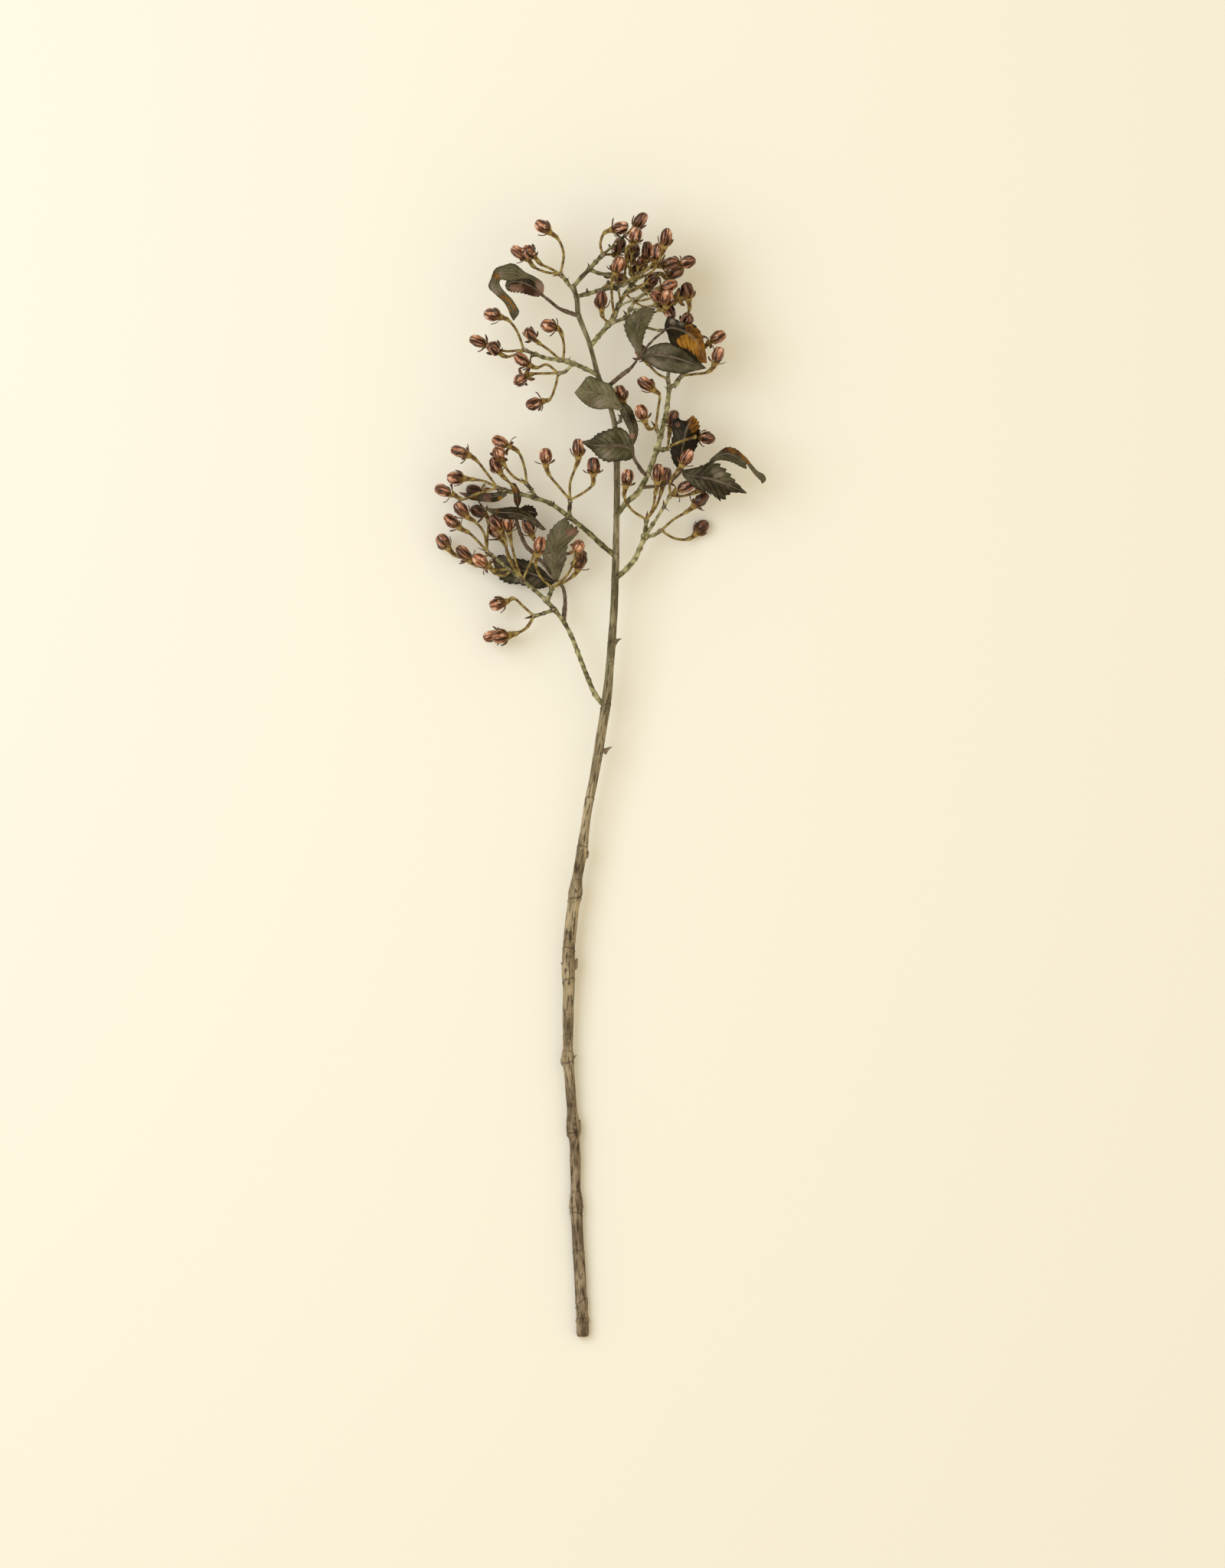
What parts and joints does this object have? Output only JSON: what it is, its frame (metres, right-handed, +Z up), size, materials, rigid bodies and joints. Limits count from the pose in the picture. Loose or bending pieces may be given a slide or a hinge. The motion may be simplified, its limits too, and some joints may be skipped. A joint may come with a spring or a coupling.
{
  "type": "hypericum berry stem",
  "caption": "Cut woody stem lying on its side, forked into branched sprays of stalked oval berries with spread sepals, with compound toothed leaves among them.",
  "frame": {"origin": "on the surface that the stem lies on, under the middle of its box", "axes": "+Y along the stem from its cut butt to its forked top, +Z up from the surface, +X to the right as seen from above"},
  "size_m": [0.205, 0.7008, 0.0632],
  "materials": {
    "bark": "dull grey-olive bark, browner toward the butt, with fine lines along it and dark joint rings",
    "berry": "satin reddish brown skin with darker seams between its lobes, on ochre stalks",
    "twig": "dull olive to ochre twigs and stalks with pale and dark rings at their joints",
    "sepal": "dry ochre-brown sepals, darker at their tips",
    "leaf": "leathery dark olive to grey-purple leaf with a faint sheen, ochre patches and brown undersides"
  },
  "bodies": {
    "root": {"main_stem": "bark", "crown_left_spray": "berry", "upper_left_spray": "berry", "crown_right_spray": "berry", "crown_middle_spray": "berry", "crown_low_spray": "berry", "upper_right_spray": "berry", "lower_right_spray": "berry", "middle_left_spray": "berry", "lower_left_spray": "berry", "lone_berry": "berry", "leaf_top_left": "leaf", "leaf_top_right": "leaf", "leaf_centre": "leaf", "leaf_right": "leaf", "leaf_left": "leaf"}
  },
  "joints": []
}
